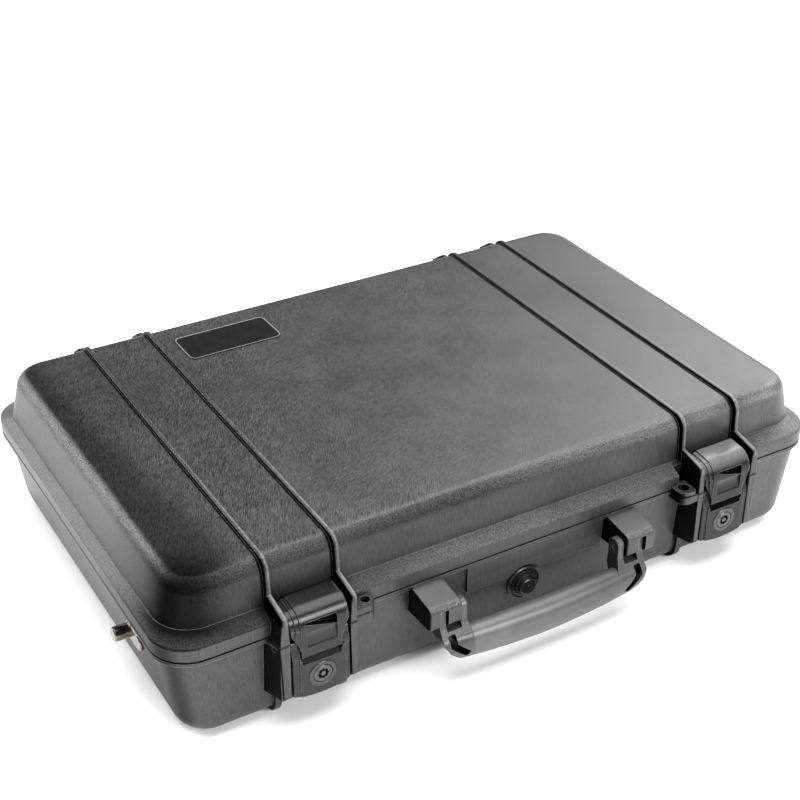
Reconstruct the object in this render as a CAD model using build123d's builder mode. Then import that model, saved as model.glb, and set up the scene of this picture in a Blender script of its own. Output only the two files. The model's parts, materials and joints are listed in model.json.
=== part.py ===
from build123d import *
import math
import os

os.makedirs("parts", exist_ok=True)

# ---------------------------------------------------------------- driving dimensions, mm
# Origin: under the middle of the overall box, on the floor. +X along the width (to the
# right seen from the handle side), the handle and latches are on the -Y side, the hinges
# on the +Y side. The y values below count from the middle of the shells, which stand
# SHELL_Y behind the origin because the handle reaches further out than the hinges.
SHELL_Y = 10.0
FLANGE_X, FLANGE_Y, FLANGE_R = 505.0, 326.0, 26.0  # lip around the parting line
BASE_BOTTOM = 3.0  # shell floor; the ribs below it are the feet
PARTING = 69.0  # top of the base's lip
GAP = 0.4  # open seam between the two lips
LIP_TOP = 79.0  # top edge of the lid's upright lip
SHOULDER = 84.0  # where the sloped shoulder meets the lid's wall
LID_TOP = 116.0  # lid's outer face
RIB_TOP = 118.0  # crest of the ribs across the lid

BASE_LOW = (239.5, 158.0)  # half sizes of the base at its floor
BASE_HIGH = (248.0, 161.5)  # and just under its lip
BASE_HIGH_Z = 66.0
LID_LOW = (246.5, 152.5)  # half sizes of the lid's wall at the shoulder
LID_HIGH = (237.5, 150.6)  # and at its top, before the edge radius
CORNER_R = 25.0
LID_EDGE_R = 11.0
BASE_EDGE_R = 13.0
RIM = (243.0, 149.0)  # half sizes of the opening at the rim

RIB_IN, RIB_OUT = 134.4, 181.1  # the four ribs, left and right
RIB_W = 3.6
BASE_RIB_W = 5.0

BAY_IN, BAY_OUT = 138.0, 178.5  # latch bay between two fins
BAY_X = (BAY_IN + BAY_OUT) / 2
FIN_FRONT = -176.5
NOTCH_Y = -155.6  # lid lip cut back inside each latch bay

HINGE_Y, HINGE_Z = 170.0, 69.0
HINGE_PIN_R = 2.5
KNUCKLE_R = 5.5
EAR_R = 6.4

PLATE_PIN = (-170.0, 64.5)  # y, z of the latch plate's stub pins in the fins
HOOK_PIN = (-173.3, 60.3)  # y, z of the pin that carries the hook on the plate
STUB_R, HOOK_PIN_R = 1.75, 1.5
RUN = 0.05  # radial running clearance

LOCK_Z = 40.0
HANDLE_PIN_YZ = (-180.0, 55.5)
HANDLE_PIN_R = 2.25
BLOCK_IN, BLOCK_OUT = 64.5, 88.0
SLOT_IN, SLOT_OUT = 74.4, 80.2

VALVE_Z = 36.5
STRAP_Y, STRAP_Z = -85.5, 45.0
STRAP_SEAT = 244.3  # flat on the base's end wall that the strap plate lies on
LABEL_X, LABEL_Y = -85.5, 107.6


# ---------------------------------------------------------------- planes and outlines
def level(z):
    """The horizontal plane at height z, on the shells' middle."""
    return Plane(origin=(0, SHELL_Y, z), x_dir=(1, 0, 0), z_dir=(0, 0, 1))


def across(x):
    """The side-view plane at x: its own axes are (y, z)."""
    return Plane(origin=(x, SHELL_Y, 0), x_dir=(0, 1, 0), z_dir=(1, 0, 0))


def facing(y):
    """The front-view plane at y: its own axes are (x, z) and it faces -Y."""
    return Plane(origin=(0, y + SHELL_Y, 0), x_dir=(1, 0, 0), z_dir=(0, -1, 0))


def yz_prism(points, x0, x1, radii=0.0, mode=Mode.ADD):
    """A closed outline of (y, z) points carried from x0 to x1."""
    with BuildSketch(across(x0)) as outline:
        with BuildLine():
            FilletPolyline(*points, radius=radii, close=True)
        make_face()
    extrude(outline.sketch, amount=x1 - x0, mode=mode)


def xz_prism(points, y0, y1, radii=0.0, mode=Mode.ADD):
    """A closed outline of (x, z) points carried from y0 to y1 (y1 < y0)."""
    with BuildSketch(facing(y0)) as outline:
        with BuildLine():
            FilletPolyline(*points, radius=radii, close=True)
        make_face()
    extrude(outline.sketch, amount=y0 - y1, mode=mode)


def slab(half_x, half_y, r, z0, z1, mode=Mode.ADD):
    """A rounded rectangle on the case's axis, from z0 to z1."""
    with BuildSketch(level(z0)) as outline:
        RectangleRounded(2 * half_x, 2 * half_y, r)
    extrude(outline.sketch, amount=z1 - z0, mode=mode)


def drafted(low, high, r_low, r_high, z0, z1, mode=Mode.ADD):
    """A rounded rectangle that changes size evenly from z0 to z1."""
    with BuildSketch(level(z0)) as below:
        RectangleRounded(2 * low[0], 2 * low[1], r_low)
    with BuildSketch(level(z1)) as above:
        RectangleRounded(2 * high[0], 2 * high[1], r_high)
    loft([below.sketch, above.sketch], mode=mode)


def box_between(x0, x1, y0, y1, z0, z1, mode=Mode.ADD):
    with BuildSketch(level(z0)) as outline:
        with Locations(((x0 + x1) / 2, (y0 + y1) / 2)):
            Rectangle(abs(x1 - x0), abs(y1 - y0))
    extrude(outline.sketch, amount=z1 - z0, mode=mode)


def level_prism(points, z0, z1, radii=0.0, mode=Mode.ADD):
    """A closed outline of (x, y) points carried from z0 to z1."""
    with BuildSketch(level(z0)) as outline:
        with BuildLine():
            FilletPolyline(*points, radius=radii, close=True)
        make_face()
    extrude(outline.sketch, amount=z1 - z0, mode=mode)


def eased(points, x0, x1, radii, r, keep):
    """The prism of yz_prism with the chosen edges of its two side faces rounded by r."""
    with BuildPart(mode=Mode.PRIVATE) as one:
        yz_prism(points, x0, x1, radii)
        fillet(
            [
                e
                for e in one.edges()
                if min(abs(e.center().X - x0), abs(e.center().X - x1)) < 0.001
                and keep(e.center())
            ],
            r,
        )
    return one.part


def rod_x(y, z, r, x0, x1, mode=Mode.ADD):
    """A round bar or hole along X."""
    with BuildSketch(across(x0)) as outline:
        with Locations((y, z)):
            Circle(r)
    extrude(outline.sketch, amount=x1 - x0, mode=mode)


def rod_y(x, z, r, y0, y1, mode=Mode.ADD):
    """A round bar or hole along Y, from y0 towards -Y to y1."""
    with BuildSketch(facing(y0)) as outline:
        with Locations((x, z)):
            Circle(r)
    extrude(outline.sketch, amount=y0 - y1, mode=mode)


def rod_z(x, y, r, z0, z1, mode=Mode.ADD):
    with BuildSketch(level(z0)) as outline:
        with Locations((x, y)):
            Circle(r)
    extrude(outline.sketch, amount=z1 - z0, mode=mode)


def fin(side_points, x_top, x_low, z_top, z_low, radii, keep):
    """A fin with the given side view that widens from x_top at z_top to x_low at z_low.
    Its front and sloped edges are rounded."""
    with BuildPart() as view_side:
        yz_prism(side_points, min(x_low) - 2, max(x_low) + 2, radii)
    with BuildPart() as view_front:
        xz_prism(
            [(x_top[0], z_top), (x_top[1], z_top), (x_low[1], z_low), (x_low[0], z_low)],
            200.0,
            -200.0,
        )
    with BuildPart(mode=Mode.PRIVATE) as one:
        add(view_side.part & view_front.part)
        fillet(
            [
                e
                for e in one.edges()
                if e.bounding_box().size.X < 1.8 and keep(e.center())
            ],
            0.9,
        )
    return one.part


def both_sides(part):
    return [part, mirror(part, about=Plane.YZ)]


# ---------------------------------------------------------------- base shell
# front fins guard the latches; their upper halves are on the lid
base_fin_side = [
    (-157.0, PARTING),
    (FIN_FRONT, PARTING),
    (FIN_FRONT, 28.0),
    (-173.5, 25.4),
    (-157.0, 25.4),
]
base_fin_radii = [0.0, 0.0, 1.6, 1.6, 0.0]


def below_seam(at):
    return at.Z < PARTING - 0.01 and at.Y < SHELL_Y - 157.01


base_fins = both_sides(
    fin(
        base_fin_side,
        (133.0, 138.0),
        (133.5, 137.4),
        PARTING,
        25.4,
        base_fin_radii,
        below_seam,
    )
) + both_sides(
    fin(
        base_fin_side,
        (178.5, 185.4),
        (179.0, 184.2),
        PARTING,
        25.4,
        base_fin_radii,
        below_seam,
    )
)

with BuildPart() as base_shell:
    # drafted tub with rounded floor edge
    drafted(BASE_LOW, BASE_HIGH, 22.0, 24.0, BASE_BOTTOM, BASE_HIGH_Z)
    floor_edges = base_shell.edges().group_by(Axis.Z)[0]
    fillet(floor_edges, BASE_EDGE_R)
    # upright lip under the seam
    slab(FLANGE_X / 2, FLANGE_Y / 2, FLANGE_R, BASE_HIGH_Z, PARTING - 0.6)
    drafted(
        (FLANGE_X / 2, FLANGE_Y / 2),
        (FLANGE_X / 2 - 0.6, FLANGE_Y / 2 - 0.6),
        FLANGE_R,
        FLANGE_R - 0.6,
        PARTING - 0.6,
        PARTING,
    )
    # ribs down the walls and under the floor: the case stands on them
    for rib_x in (-RIB_OUT, -RIB_IN, RIB_IN, RIB_OUT):
        add(
            eased(
                [(-162.2, 31.0), (162.2, 31.0), (160.2, 0.0), (-160.2, 0.0)],
                rib_x - BASE_RIB_W / 2,
                rib_x + BASE_RIB_W / 2,
                [1.2, 1.2, 15.0, 15.0],
                0.8,
                lambda at: True,
            )
        )
    for one in base_fins:
        add(one)
    # the fins' outer faces spread towards the wall
    for s in (-1, 1):
        for x_front, x_wall, x_core in ((185.0, 190.8, 182.0), (133.4, 128.0, 135.5)):
            level_prism(
                [
                    (s * x_front, -174.6),
                    (s * x_wall, -157.0),
                    (s * x_core, -157.0),
                    (s * x_core, -174.6),
                ],
                26.0,
                66.4,
            )
    # proud panel behind the handle
    xz_prism([(-45.0, 66.5), (62.0, 66.5), (62.0, 46.0), (-45.0, 46.0)], -156.0, -162.9)
    rod_y(0, VALVE_Z, 15.0, -160.4, -170.0, mode=Mode.SUBTRACT)
    rod_y(0, VALVE_Z, 13.8, -155.0, -160.4)
    # handle blocks
    for s in (-1, 1):
        lo, hi = sorted((s * BLOCK_IN, s * BLOCK_OUT))
        add(
            eased(
                [
                    (-157.0, 67.6),
                    (-164.0, 67.6),
                    (-188.0, 64.6),
                    (-188.0, 48.0),
                    (-157.0, 46.5),
                ],
                lo,
                hi,
                [0.0, 0.0, 4.5, 4.0, 0.0],
                1.4,
                lambda at: at.Y < SHELL_Y - 157.01,
            )
        )
    # lock keepers: a shelf with a turned-down lip behind each latch plate
    for s in (-1, 1):
        xc = s * BAY_X
        yz_prism(
            [
                (-157.0, 53.6),
                (-172.6, 53.6),
                (-172.6, 48.3),
                (-171.0, 48.3),
                (-171.0, 51.7),
                (-157.0, 51.7),
            ],
            xc - 5,
            xc + 5,
        )
    # padlock lug, left: a rounded tab; right: a taller ring
    with BuildPart(mode=Mode.PRIVATE) as lug:
        level_prism(
            [(-135.0, -158.0), (-135.0, -173.0), (-116.4, -173.0), (-116.4, -158.0)],
            60.6,
            PARTING,
            [0.0, 0.0, 7.0, 0.0],
        )
        fillet(
            [
                e
                for e in lug.edges().group_by(Axis.Z)[0]
                if e.center().Y < SHELL_Y - 159 and e.center().X > -134
            ],
            1.6,
        )
    add(lug.part)
    level_prism(
        [(120.0, -156.0), (120.0, -175.8), (134.0, -175.8), (134.0, -156.0)],
        63.2,
        PARTING,
        [0.0, 6.5, 0.0, 0.0],
    )
    level_prism(
        [(120.0, -161.0), (120.0, -175.8), (132.5, -175.8), (132.5, -161.0)],
        PARTING,
        72.2,
        [2.0, 6.5, 3.0, 2.0],
    )
    # hinge ears at the back
    for s in (-1, 1):
        for x_mid in (RIB_IN, RIB_OUT):
            a, b = sorted((s * (x_mid - 2.6), s * (x_mid + 2.6)))
            rod_x(HINGE_Y, HINGE_Z, EAR_R, a, b)
            yz_prism(
                [
                    (158.0, 30.0),
                    (168.0, 36.0),
                    (176.4, 52.0),
                    (176.4, 69.0),
                    (163.6, 69.0),
                    (158.0, 68.9),
                ],
                a,
                b,
                [0.0, 6.0, 8.0, 0.0, 0.0, 0.0],
            )
    # inside bosses for the strap posts
    for s in (-1, 1):
        a, b = sorted((s * 239.2, s * 244.7))
        rod_x(STRAP_Y, STRAP_Z, 8.0, a, b)

with BuildPart() as base_tub:
    add(base_shell.part)
    # hollow: rim opening, then the wider tub below its inward shelf
    slab(RIM[0], RIM[1], 18.0, 63.0, 75.0, mode=Mode.SUBTRACT)
    with BuildPart(mode=Mode.PRIVATE) as hollow:
        drafted((236.0, 154.5), (243.8, 157.4), 18.5, 20.0, 6.5, 63.0)
        fillet(hollow.edges().group_by(Axis.Z)[0], 9.0)
    add(hollow.part, mode=Mode.SUBTRACT)
    for s in (-1, 1):
        a, b = sorted((s * 239.2, s * STRAP_SEAT))
        rod_x(STRAP_Y, STRAP_Z, 8.0, a, b)
        a, b = sorted((s * 230.0, s * 270.0))
        rod_x(STRAP_Y, STRAP_Z, 2.6, a, b, mode=Mode.SUBTRACT)
        # flat seat for the strap plate
        with BuildSketch(across(s * STRAP_SEAT)):
            with Locations((STRAP_Y - 7.0, STRAP_Z)):
                SlotOverall(26.6, 12.6)
        extrude(amount=s * 10.0, mode=Mode.SUBTRACT)
    # tongue that presses into the seal
    with BuildSketch(level(PARTING - 0.5)):
        RectangleRounded(2 * 247.7, 2 * 153.1, 20.3)
        RectangleRounded(2 * 245.9, 2 * 151.3, 18.5, mode=Mode.SUBTRACT)
    extrude(amount=1.5)
    # pin holes
    for s in (-1, 1):
        a, b = sorted((s * 130.0, s * 190.0))
        rod_x(PLATE_PIN[0], PLATE_PIN[1], STUB_R, a, b, mode=Mode.SUBTRACT)
        rod_x(HINGE_Y, HINGE_Z, HINGE_PIN_R, a, b, mode=Mode.SUBTRACT)
        a, b = sorted((s * 60.0, s * 86.0))
        rod_x(
            HANDLE_PIN_YZ[0], HANDLE_PIN_YZ[1], HANDLE_PIN_R, a, b, mode=Mode.SUBTRACT
        )
        # slot for the handle's outer leaf, open to the front and below
        a, b = sorted((s * SLOT_IN, s * SLOT_OUT))
        yz_prism(
            [(-173.4, 61.6), (-192.0, 61.6), (-192.0, 40.0), (-173.4, 40.0)],
            a,
            b,
            [4.0, 0, 0, 0],
            mode=Mode.SUBTRACT,
        )
    rod_z(-122.5, -167.0, 3.2, 55.0, 75.0, mode=Mode.SUBTRACT)
    rod_z(126.7, -167.8, 4.3, 55.0, 75.0, mode=Mode.SUBTRACT)
    rod_y(0, VALVE_Z, 6.0, -140.0, -170.0, mode=Mode.SUBTRACT)
base_tub.part.label = "base_shell"
export_step(base_tub.part, "parts/base_shell.step")
print("base", base_tub.part.volume, len(base_tub.solids()))

# ---------------------------------------------------------------- lid shell
lid_fin_side = [
    (-150.0, 94.3),
    (-152.6, 94.3),
    (FIN_FRONT, 89.2),
    (FIN_FRONT, PARTING + GAP),
    (-150.0, PARTING + GAP),
]
lid_fin_radii = [0.0, 0.0, 2.5, 0.0, 0.0]


def above_seam(at):
    return at.Z > PARTING + GAP + 0.01 and at.Y < SHELL_Y - 150.01


lid_fins = both_sides(
    fin(
        lid_fin_side,
        (132.9, 136.2),
        (133.0, 138.0),
        95.0,
        PARTING,
        lid_fin_radii,
        above_seam,
    )
) + both_sides(
    fin(
        lid_fin_side,
        (179.4, 182.8),
        (178.5, 185.4),
        95.0,
        PARTING,
        lid_fin_radii,
        above_seam,
    )
)

with BuildPart() as lid_block:
    drafted(LID_LOW, LID_HIGH, CORNER_R, 23.0, SHOULDER - 4.0, LID_TOP)
    fillet(lid_block.edges().group_by(Axis.Z)[-1], LID_EDGE_R)

with BuildPart() as lid_solid:
    add(lid_block.part)
    drafted(
        (FLANGE_X / 2 - 0.6, FLANGE_Y / 2 - 0.6),
        (FLANGE_X / 2, FLANGE_Y / 2),
        FLANGE_R - 0.6,
        FLANGE_R,
        PARTING + GAP,
        PARTING + GAP + 0.6,
    )
    slab(FLANGE_X / 2, FLANGE_Y / 2, FLANGE_R, PARTING + GAP + 0.6, LIP_TOP)
    drafted(
        (FLANGE_X / 2, FLANGE_Y / 2),
        (LID_LOW[0] - 0.6, LID_LOW[1] - 0.9),
        FLANGE_R,
        CORNER_R,
        LIP_TOP,
        SHOULDER + 0.5,
    )
    fillet(
        lid_solid.edges()
        .filter_by_position(Axis.Z, LIP_TOP - 0.01, LIP_TOP + 0.01)
        .filter_by(lambda e: abs(e.center().X) > 1 or abs(e.center().Y - SHELL_Y) > 155),
        1.6,
    )
    # ribs over the top, down the front to the fins and down the back to the shoulder
    for rib_x in (-RIB_OUT, -RIB_IN, RIB_IN, RIB_OUT):
        add(
            eased(
                [
                    (-156.0, 82.0),
                    (-153.9, RIB_TOP),
                    (152.6, RIB_TOP),
                    (154.7, 82.0),
                ],
                rib_x - RIB_W / 2,
                rib_x + RIB_W / 2,
                [0.0, 9.5, 12.5, 0.0],
                1.1,
                lambda at: at.Z > 82.1,
            )
        )
        # rear fins stand the case on its back and guard the hinges
        add(
            eased(
                [
                    (148.0, 108.6),
                    (161.0, 108.6),
                    (174.0, 99.5),
                    (174.0, 82.5),
                    (171.0, 79.6),
                    (148.0, 79.6),
                ],
                rib_x - 2.3,
                rib_x + 2.3,
                [0.0, 4.0, 4.0, 2.0, 2.0, 0.0],
                0.8,
                lambda at: at.Y > SHELL_Y + 148.01,
            )
        )
    for one in lid_fins:
        add(one)
    # left padlock lug
    with BuildPart(mode=Mode.PRIVATE) as lug:
        level_prism(
            [(-135.0, -158.0), (-135.0, -173.0), (-116.4, -173.0), (-116.4, -158.0)],
            PARTING + GAP,
            75.2,
            [0.0, 0.0, 7.0, 0.0],
        )
        fillet(
            [
                e
                for e in lug.edges().group_by(Axis.Z)[-1]
                if e.center().Y < SHELL_Y - 159 and e.center().X > -134
            ],
            1.6,
        )
    add(lug.part)
    # lid knuckles between the base's ears
    for s in (-1, 1):
        a, b = sorted((s * 140.0, s * 175.5))
        rod_x(HINGE_Y, HINGE_Z, KNUCKLE_R, a, b)
        yz_prism(
            [
                (160.0, 79.0),
                (163.5, 78.6),
                (172.0, 74.1),
                (170.0, 69.4),
                (160.0, 69.4),
            ],
            a,
            b,
        )

with BuildPart() as lid_shell:
    add(lid_solid.part)
    # hollow
    slab(RIM[0], RIM[1], 19.0, PARTING - 2.0, SHOULDER, mode=Mode.SUBTRACT)
    with BuildPart(mode=Mode.PRIVATE) as lid_hollow:
        drafted(RIM, (235.0, 147.2), 19.0, 19.0, SHOULDER, LID_TOP - 3.5)
        fillet(lid_hollow.edges().group_by(Axis.Z)[-1], 8.0)
    add(lid_hollow.part, mode=Mode.SUBTRACT)
    # groove for the seal
    with BuildSketch(level(PARTING - 2.0)):
        RectangleRounded(2 * 248.4, 2 * 153.8, 21.0)
        RectangleRounded(2 * 245.2, 2 * 150.6, 17.8, mode=Mode.SUBTRACT)
    extrude(amount=6.0, mode=Mode.SUBTRACT)
    # lip cut back in the latch bays, where the hooks reach in
    for s in (-1, 1):
        a, b = sorted((s * BAY_IN, s * BAY_OUT))
        box_between(a, b, -180.0, NOTCH_Y, 60.0, 92.0, mode=Mode.SUBTRACT)
    # and above the right padlock ring
    box_between(119.4, 133.0, -180.0, -160.2, 60.0, 73.2, mode=Mode.SUBTRACT)
    box_between(126.0, 133.0, -180.0, NOTCH_Y, 60.0, 92.0, mode=Mode.SUBTRACT)
    for s in (-1, 1):
        a, b = sorted((s * 130.0, s * 190.0))
        rod_x(HINGE_Y, HINGE_Z, HINGE_PIN_R + 0.06, a, b, mode=Mode.SUBTRACT)
    rod_z(-122.5, -167.0, 3.2, 55.0, 80.0, mode=Mode.SUBTRACT)
lid_shell.part.label = "lid_shell"
export_step(lid_shell.part, "parts/lid_shell.step")
print("lid", lid_shell.part.volume, len(lid_shell.solids()))

# ---------------------------------------------------------------- seal, foam, label
with BuildPart() as lid_seal:
    with BuildSketch(level(70.25)):
        RectangleRounded(2 * 248.35, 2 * 153.75, 20.95)
        RectangleRounded(2 * 245.25, 2 * 150.65, 17.85, mode=Mode.SUBTRACT)
    extrude(amount=2.7)
lid_seal.part.label = "lid_seal"
export_step(lid_seal.part, "parts/lid_seal.step")

with BuildPart() as base_foam:
    slab(234.0, 147.0, 16.0, 6.7, 60.0)
    chamfer(base_foam.edges().group_by(Axis.Z)[0], 9.0)
    slab(190.0, 131.0, 10.0, 26.0, 62.0, mode=Mode.SUBTRACT)
    # finger scoops each side of the laptop well
    for s in (-1, 1):
        with BuildSketch(level(26.0)):
            with Locations((s * 190.0, 0)):
                SlotOverall(70.0, 36.0, rotation=90)
        extrude(amount=40.0, mode=Mode.SUBTRACT)
base_foam.part.label = "base_foam"
export_step(base_foam.part, "parts/base_foam.step")

with BuildPart() as lid_foam:
    slab(230.0, 142.5, 14.0, 84.0, 112.3)
    chamfer(lid_foam.edges().group_by(Axis.Z)[-1], 6.0)
lid_foam.part.label = "lid_foam"
export_step(lid_foam.part, "parts/lid_foam.step")

with BuildPart() as label_plate:
    with BuildSketch(level(LID_TOP)):
        with Locations((LABEL_X, LABEL_Y)):
            RectangleRounded(73.0, 35.0, 5.0)
    extrude(amount=0.8)
    with BuildSketch(level(LID_TOP + 0.6)):
        with Locations((LABEL_X, LABEL_Y)):
            RectangleRounded(71.4, 33.4, 4.2)
    extrude(amount=0.3, mode=Mode.SUBTRACT)
label_plate.part.label = "label_plate"
export_step(label_plate.part, "parts/label_plate.step")

# ---------------------------------------------------------------- hinge pins
for name, s in (("left", -1), ("right", 1)):
    with BuildPart() as hinge_pin:
        a, b = sorted((s * 131.0, s * 184.5))
        rod_x(HINGE_Y, HINGE_Z, HINGE_PIN_R, a, b)
        chamfer(hinge_pin.edges(), 0.5)
    hinge_pin.part.label = "hinge_pin_" + name
    export_step(hinge_pin.part, "parts/hinge_pin_%s.step" % name)

# ---------------------------------------------------------------- latches
for name, s in (("left", -1), ("right", 1)):
    xc = s * BAY_X
    yA, zA = PLATE_PIN
    yB, zB = HOOK_PIN

    # plate: front panel with a notch between two ears
    with BuildPart() as plate:
        with BuildSketch(facing(-173.6)):
            with BuildLine():
                Polyline(
                    (xc + 19.5, 27.8),
                    (xc + 19.5, 56.6),
                    (xc + 14.3, 55.8),
                    (xc + 14.3, 54.0),
                    (xc - 14.3, 54.0),
                    (xc - 14.3, 55.8),
                    (xc - 19.5, 56.6),
                    (xc - 19.5, 27.8),
                )
                ThreePointArc((xc - 19.5, 27.8), (xc, 25.0), (xc + 19.5, 27.8))
            make_face()
        extrude(amount=177.4 - 173.6)
        for a, b in ((xc - 19.5, xc - 14.3), (xc + 14.3, xc + 19.5)):
            yz_prism(
                [
                    (-176.3, 49.0),
                    (-176.3, 58.6),
                    (-174.6, 63.4),
                    (-174.6, 67.6),
                    (-171.6, 69.0),
                    (-166.6, 69.0),
                    (-164.3, 66.2),
                    (-164.3, 61.6),
                    (-168.4, 54.0),
                    (-173.6, 49.0),
                ],
                a,
                b,
                [0.0, 2.0, 2.0, 1.2, 1.2, 2.0, 2.0, 2.0, 2.0, 0.0],
            )
        # side returns stiffen the plate
        for a, b in ((xc - 19.5, xc - 17.7), (xc + 17.7, xc + 19.5)):
            yz_prism(
                [(-175.0, 52.0), (-170.0, 52.0), (-170.5, 31.0), (-175.0, 29.5)], a, b
            )
        # sloped ledge under the tongue, and borders set back beside the face
        yz_prism(
            [(-178.0, 50.2), (-173.9, 54.3), (-178.0, 54.3)],
            xc - 13.4,
            xc + 13.4,
            mode=Mode.SUBTRACT,
        )
        for a, b in ((xc - 20.0, xc - 14.9), (xc + 16.4, xc + 20.0)):
            box_between(a, b, -178.0, -176.7, 20.0, 58.0, mode=Mode.SUBTRACT)
        rod_y(xc, LOCK_Z, 9.6, -176.9, -180.0, mode=Mode.SUBTRACT)
        rod_y(xc, LOCK_Z, 7.2, -160.0, -180.0, mode=Mode.SUBTRACT)
        rod_x(yA, zA, STUB_R + RUN, xc - 25, xc + 25, mode=Mode.SUBTRACT)
        rod_x(yB, zB, HOOK_PIN_R, xc - 18.6, xc + 18.6, mode=Mode.SUBTRACT)
        fillet(
            [
                e
                for e in plate.edges().filter_by(Axis.Z)
                if abs(e.center().Y - SHELL_Y + 176.7) < 0.05
                and abs(abs(e.center().X - xc) - 19.5) < 0.05
            ],
            0.9,
        )
    plate.part.label = "latch_plate_" + name
    export_step(plate.part, "parts/latch_plate_%s.step" % name)

    # hook: a stepped cap over the lid's lip, with a tongue between the plate's ears
    def cap(inset, lowest):
        return (
            [
                (-178.0 + inset, lowest),
                (-178.0 + inset, 88.0 - 0.6 * inset),
                (-156.2, 90.4 - inset),
                (-156.2, 79.0),
                (-159.2, 79.0),
                (-159.2, 85.6),
                (-169.9, 84.2),
                (-172.6, 79.0),
                (-171.0, lowest),
            ],
            [0.5, 12.5 - inset, 0.8, 0.8, 0.8, 1.5, 4.0, 3.0, 0.0],
        )

    with BuildPart() as hook:
        points, radii = cap(0.0, 74.5)
        yz_prism(points, xc - 13.6, xc + 17.4, radii)
        points, radii = cap(1.1, 74.5)
        yz_prism(points, xc - 16.6, xc + 18.6, radii)
        points, radii = cap(2.2, 74.5)
        yz_prism(points, xc - 19.5, xc + 19.5, radii)
        # cheeks that taper down to the tongue, in two layers
        for side in (-1, 1):
            for wide, wide_z, narrow_z, front in (
                (19.5, 75.0, 63.6, -176.4),
                (16.6, 73.5, 61.5, -177.4),
            ):
                if front < -177 and side > 0:
                    wide = 17.6
                xz_prism(
                    [
                        (xc + side * 12.0, 78.0),
                        (xc + side * wide, 78.0),
                        (xc + side * wide, wide_z),
                        (xc + side * 13.6, narrow_z),
                        (xc + side * 12.0, narrow_z),
                    ],
                    -174.95,
                    front,
                )
        # tongue
        yz_prism(
            [
                (-177.9, 56.7),
                (-177.9, 77.0),
                (-171.0, 77.0),
                (-169.6, 70.0),
                (-169.6, 56.7),
            ],
            xc - 13.6,
            xc + 13.6,
            [0.8, 0.0, 0.0, 0.0, 2.2],
        )
        # finger scoop, and the wedge under the cap's edge that deepens to the right
        rod_x(-190.1, 69.6, 13.6, xc - 10.0, xc + 10.8, mode=Mode.SUBTRACT)
        xz_prism(
            [(xc - 10.5, 82.0), (xc + 10.8, 82.2), (xc + 10.8, 75.2), (xc - 10.5, 81.0)],
            -173.9,
            -180.0,
            mode=Mode.SUBTRACT,
        )
        rod_x(yB, zB, HOOK_PIN_R + RUN, xc - 25, xc + 25, mode=Mode.SUBTRACT)
    hook.part.label = "latch_hook_" + name
    export_step(hook.part, "parts/latch_hook_%s.step" % name)

    with BuildPart() as hook_pin:
        rod_x(yB, zB, HOOK_PIN_R, xc - 18.5, xc + 18.5)
    hook_pin.part.label = "latch_hook_pin_" + name
    export_step(hook_pin.part, "parts/latch_hook_pin_%s.step" % name)

    with BuildPart() as stubs:
        rod_x(yA, zA, STUB_R, xc - 26.6 if s < 0 else xc - 24.8, xc - 14.7)
        rod_x(yA, zA, STUB_R, xc + 14.7, xc + 24.8 if s < 0 else xc + 26.6)
    stubs.part.label = "latch_stub_pins_" + name
    export_step(stubs.part, "parts/latch_stub_pins_%s.step" % name)

    # lock: bezel in the plate, core that turns in it, cam behind
    with BuildPart() as bezel:
        rod_y(xc, LOCK_Z, 9.3, -176.9, -178.1)
        chamfer(bezel.edges().group_by(Axis.Y)[0], 0.5)
        rod_y(xc, LOCK_Z, 7.2, -170.6, -176.9)
        rod_y(xc, LOCK_Z, 4.5 + RUN, -160.0, -179.0, mode=Mode.SUBTRACT)
        rod_y(xc, LOCK_Z, 6.6, -177.3, -179.0, mode=Mode.SUBTRACT)
    bezel.part.label = "lock_bezel_" + name
    export_step(bezel.part, "parts/lock_bezel_%s.step" % name)

    with BuildPart() as core:
        rod_y(xc, LOCK_Z, 4.5, -170.5, -177.9)
        rod_y(xc, LOCK_Z, 6.2, -177.36, -178.3)
        chamfer(core.edges().group_by(Axis.Y)[0], 0.4)
        rod_y(xc, LOCK_Z, 2.4, -168.3, -170.5)
        # round keyway with eight flutes and a centre post
        with BuildSketch(facing(-175.0)):
            with Locations((xc, LOCK_Z)):
                Circle(3.3)
                with PolarLocations(3.3, 8):
                    Circle(0.7)
                Circle(1.7, mode=Mode.SUBTRACT)
        extrude(amount=5.0, mode=Mode.SUBTRACT)
    core.part.label = "lock_core_" + name
    export_step(core.part, "parts/lock_core_%s.step" % name)

    with BuildPart() as cam:
        with BuildSketch(facing(-168.7)):
            with Locations((xc + 4.0, LOCK_Z)):
                SlotOverall(14.6, 6.6)
            with Locations((xc, LOCK_Z)):
                Circle(4.4)
                Circle(2.4, mode=Mode.SUBTRACT)
        extrude(amount=1.8)
    cam.part.label = "lock_cam_" + name
    export_step(cam.part, "parts/lock_cam_%s.step" % name)

# ---------------------------------------------------------------- handle
hy, hz = HANDLE_PIN_YZ
# oval sections of the grip: x, middle y and z, half sizes in y and z
GRIP = (
    (0.0, -186.4, 27.2, 9.8, 12.7),
    (28.0, -186.2, 27.8, 9.4, 12.4),
    (50.0, -186.0, 28.8, 8.8, 11.8),
    (58.0, -185.8, 29.4, 8.6, 11.4),
    (80.0, -185.2, 31.2, 8.2, 10.6),
)
handle_side = [
    (-174.6, 58.0),
    (-177.0, 61.0),
    (-183.0, 61.0),
    (-185.2, 58.0),
    (-185.2, 47.0),
    (-192.4, 35.5),
    (-189.0, 27.0),
    (-180.0, 27.0),
    (-178.2, 34.0),
    (-174.6, 45.0),
]
handle_side_radii = [1.5, 3.0, 3.0, 2.0, 6.0, 3.0, 3.0, 3.0, 4.0, 4.0]


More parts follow.
